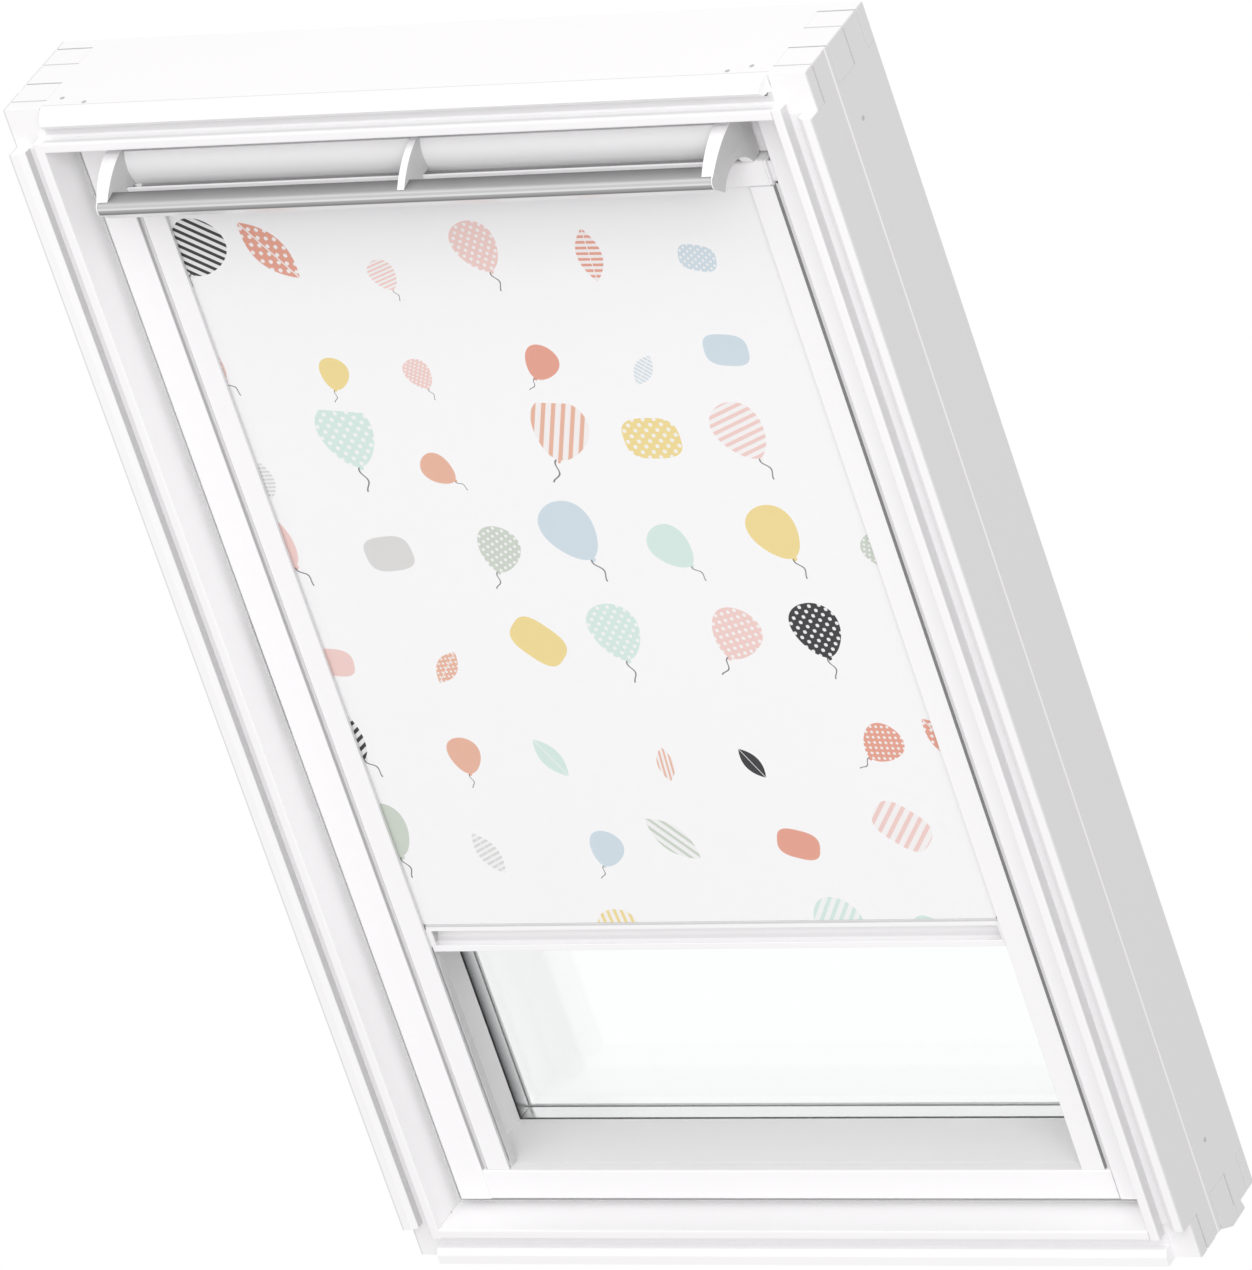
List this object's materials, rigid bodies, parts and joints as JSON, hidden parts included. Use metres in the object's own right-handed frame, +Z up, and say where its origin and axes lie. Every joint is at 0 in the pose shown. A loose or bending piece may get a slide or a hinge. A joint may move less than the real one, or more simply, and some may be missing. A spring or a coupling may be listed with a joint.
{
  "type": "roof window with roller blind",
  "caption": "Centre-pivot roof window with a finger-jointed frame, a ventilation flap with control bar, and a printed roller blind in side channels.",
  "frame": {"origin": "centre of the frame's bottom outer face", "axes": "+Z up the roof slope, +X to the right seen from the room, -Y into the room"},
  "size_m": [0.78, 0.1785, 1.178],
  "materials": {
    "frame_white": "white paint, satin",
    "sash_white": "white paint, satin",
    "plastic_white": "white, fine matt",
    "blind_white": "white powder coat",
    "bar_aluminium": "satin anodised",
    "cover_grey": "dark grey coat",
    "hinge_steel": "zinc plated",
    "seal_rubber": "matt",
    "seal_white": "pale, matt",
    "spacer_grey": "matt",
    "clear_glass": "clear float glass",
    "blind_fabric": "white blackout cloth with a pastel print"
  },
  "bodies": {
    "frame": {"frame_head": "frame_white", "frame_sill": "frame_white", "frame_side_left": "frame_white", "frame_side_right": "frame_white", "reveal_seal": "seal_white", "frame_hinge_left": "hinge_steel", "frame_hinge_right": "hinge_steel", "striker_plate": "hinge_steel"},
    "sash": {"sash_stile_left": "sash_white", "sash_stile_right": "sash_white", "sash_top_rail": "sash_white", "sash_bottom_rail": "sash_white", "glass_inner": "clear_glass", "glass_outer": "clear_glass", "glass_spacer": "spacer_grey", "glazing_gasket": "seal_rubber", "cover_left": "cover_grey", "cover_right": "cover_grey", "cover_top": "cover_grey", "cover_bottom": "cover_grey", "sash_hinge_left": "hinge_steel", "sash_hinge_right": "hinge_steel", "flap_hinge_left": "hinge_steel", "flap_hinge_right": "hinge_steel", "lock_case": "hinge_steel", "channel_left": "blind_white", "channel_right": "blind_white", "channel_plug_left": "blind_white", "channel_plug_right": "blind_white", "blind_casing": "blind_white", "casing_end_left": "blind_white", "casing_end_right": "blind_white"},
    "latch": {"lock_latch": "hinge_steel"},
    "flap": {"flap_cover": "plastic_white", "bracket_left": "plastic_white", "bracket_middle": "plastic_white", "bracket_right": "plastic_white", "control_bar": "bar_aluminium"},
    "roller": {"roller_tube": "bar_aluminium"},
    "blind": {"bottom_bar": "blind_white", "bar_glide_left": "plastic_white", "bar_glide_right": "plastic_white", "blind_fabric": "blind_fabric"}
  },
  "joints": [
    {"name": "sash_pivot", "type": "hinge", "parent": "frame", "child": "sash", "pos_m": [0, 0.01875, 0.589], "axis": [1, 0, 0], "range_deg": [0, 180]},
    {"name": "flap_hinge", "type": "hinge", "parent": "sash", "child": "flap", "pos_m": [0, -0.02225, 1.094], "axis": [1, 0, 0], "range_deg": [0, 25]},
    {"name": "latch_slide", "type": "slide", "parent": "sash", "child": "latch", "axis": [0, 0, 1], "range_m": [-0.004, 0]},
    {"name": "blind_slide", "type": "slide", "parent": "sash", "child": "blind", "axis": [0, 0, 1], "range_m": [-0.225, 0.725], "deforming": ["blind_fabric"]},
    {"name": "roller_spin", "type": "hinge", "parent": "sash", "child": "roller", "pos_m": [0, -0.01085, 1.0707], "axis": [1, 0, 0], "range_deg": [-4330, 1345]}
  ],
  "couplings": [
    {"joint": "latch_slide", "follows": "flap_hinge", "m_per_rad": -0.00916},
    {"joint": "roller_spin", "follows": "blind_slide", "rad_per_m": -104}
  ]
}
